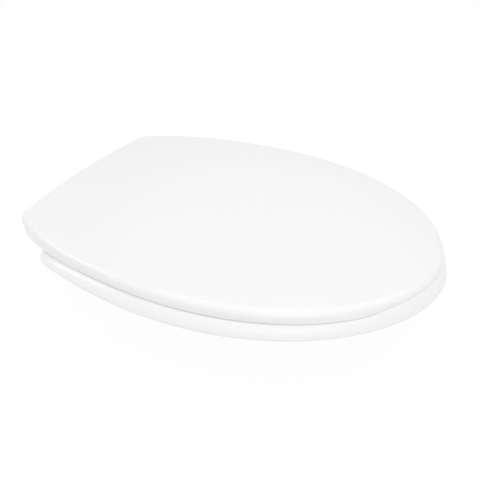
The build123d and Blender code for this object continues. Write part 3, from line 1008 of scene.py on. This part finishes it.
studs = thread_group()
grips = grip_group()
for side_name, side in SIDES.items():
    bolt = new_piece("threaded_bolt_" + side_name, bolt_mesh("bolt", side * BOLT_X), fixing_nylon)
    thread = {
        "Across": side * BOLT_X * MM, "Low": (THREAD_START - SHANK_LENGTH - THREAD_LENGTH) * MM,
        "Length": THREAD_RUN * MM, "Pitch": THREAD_PITCH * MM, "Radius": THREAD_RADIUS * MM,
        "Depth": THREAD_DEPTH * MM,
    }
    apply_group(bolt, studs, fixing_nylon, thread)
    bolt.data.set_sharp_from_angle(angle=math.radians(THREAD_SHARP))
    mounted(bolt, "hinge_mount", "fixing_nylon", "fixing_bolt_" + side_name)

    nut = softened("wing_nut_" + side_name, fixing_nylon, WING_EDGE, "winged_nut_" + side_name)
    ridges = {
        "Count": GRIP_COUNT, "Across": side * BOLT_X * MM, "Low": (WING_MIDDLE - GRIP_BELOW) * MM,
        "Tall": GRIP_HEIGHT * MM, "Radius": GRIP_RADIUS * MM, "Near": GRIP_NEAR * MM, "Far": GRIP_FAR * MM,
        "Face": WING_THICK / 2 * MM,
    }
    apply_group(nut, grips, fixing_nylon, ridges)
    mounted(nut, "hinge_mount", "fixing_nylon", "wing_nut_" + side_name)

    for kind, name, finish, slot, width in (
        ("hinge_post", "hinge_body", hinge_white, "hinge_plastic", 0.8),
        ("bolt_cap", "cap_cover", hinge_white, "hinge_plastic", 0.2),
        ("hinge_pin", "steel_pin", pin_steel, "pin_steel", 0.2),
        ("base_pad", "soft_pad", pad_rubber, "pad_rubber", 0.35),
        ("washer", "soft_washer", pad_rubber, "pad_rubber", 0.4),
    ):
        node = f"{kind}_{side_name}"
        piece = softened(node, finish, width, f"{name}_{side_name}")
        mounted(piece, "hinge_mount", slot, node)


# Studio, in metres and radians; the lens and the picture's width share one unit

WHITE = (1, 1, 1, 1)
FLOOR_HALF = 3.0
FLOOR_GAP = 0.0005
FLOOR_GREY = 0.88
FLOOR_GLOW = 1.02
GLOW_SHARE = 0.93
SKY_STRENGTH = 0.65
LAMP_AIM = Vector((0, -0.2, 0.02))
LAMP_DISTANCE = 1.4
SENSOR_WIDTH = 36.0
VIEW_AIM = Vector((-37.4, -218.5, 22.6)) * MM
VIEW_TURN = -1.1025
VIEW_LIFT = 0.5921
VIEW_DISTANCE = 0.660
VIEW_LENS = 587.58
VIEW_WIDTH = 480


def shown_rays(tree):
    """1 for rays that show the background or its mirror image, 0 for those that carry its light."""
    seen = grown_node(tree, "ShaderNodeLightPath", {}, "Is Camera Ray")
    return math_node(tree, "MAXIMUM", seen, seen.node.outputs["Is Glossy Ray"])


def studio():
    """A white floor that keeps the seat's shadow, and an even light from all round."""
    low = cad_box[0][2] - FLOOR_GAP
    corners = [(x * FLOOR_HALF, y * FLOOR_HALF, low) for x, y in ((-1, -1), (1, -1), (1, 1), (-1, 1))]
    floor_mesh = bpy.data.meshes.new("studio_floor")
    floor_mesh.from_pydata(corners, [], [(0, 1, 2, 3)])
    floor = placed("studio_floor", floor_mesh)
    material = bpy.data.materials.new("studio_white")
    material.use_nodes = True
    tree = material.node_tree
    tree.nodes.clear()
    paper = grown_node(tree, "ShaderNodeBsdfDiffuse", {"Color": (FLOOR_GREY, FLOOR_GREY, FLOOR_GREY, 1)})
    glow = grown_node(tree, "ShaderNodeEmission", {"Strength": FLOOR_GLOW})
    share = math_node(tree, "MULTIPLY", shown_rays(tree), GLOW_SHARE)
    both = grown_node(tree, "ShaderNodeMixShader", {"Fac": share, 1: paper, 2: glow})
    tree.links.new(both, tree.nodes.new("ShaderNodeOutputMaterial").inputs["Surface"])
    floor_mesh.materials.append(material)

    world = bpy.data.worlds.new("studio_light")
    bpy.context.scene.world = world
    world.use_nodes = True
    tree = world.node_tree
    sky = tree.nodes["Background"]
    fill(tree, sky, {"Color": WHITE, "Strength": SKY_STRENGTH})
    back = grown_node(tree, "ShaderNodeBackground", {"Color": WHITE, "Strength": 1.0})
    both = grown_node(tree, "ShaderNodeMixShader", {
        "Fac": shown_rays(tree), 1: sky.outputs["Background"], 2: back})
    tree.links.new(both, tree.nodes["World Output"].inputs["Surface"])


def set_back(name, data, middle, turn, lift, distance):
    """An object that looks at a middle, from a turn about it off the front and a lift above it in radians."""
    away = Vector((math.sin(turn) * math.cos(lift), -math.cos(turn) * math.cos(lift), math.sin(lift)))
    made = placed(name, data)
    made.location = middle + away * distance
    made.rotation_euler = away.to_track_quat("Z", "Y").to_euler()
    return made


def lamp(name, turn, lift, watts, width):
    """A round soft lamp aimed at the middle of the seat, from a turn about it and a lift in degrees."""
    data = bpy.data.lights.new(name, "AREA")
    data.shape = "DISK"
    data.size = width
    data.energy = watts
    set_back(name, data, LAMP_AIM, math.radians(turn), math.radians(lift), LAMP_DISTANCE)


def camera():
    """The camera, from the front left and above."""
    data = bpy.data.cameras.new("view")
    data.sensor_width = SENSOR_WIDTH
    data.lens = VIEW_LENS / VIEW_WIDTH * SENSOR_WIDTH
    view = set_back("view", data, VIEW_AIM, VIEW_TURN, VIEW_LIFT, VIEW_DISTANCE)
    bpy.context.scene.camera = view


studio()
lamp("key", turn=270, lift=70, watts=4.75, width=1.5)
lamp("front", turn=0, lift=45, watts=2.6, width=1.2)
lamp("low_side", turn=305, lift=18, watts=2.3, width=1.1)
lamp("rear_side", turn=208, lift=30, watts=1.6, width=0.6)
lamp("far_side", turn=112, lift=45, watts=0.9, width=1.2)
camera()
bpy.context.scene.view_settings.view_transform = "Standard"
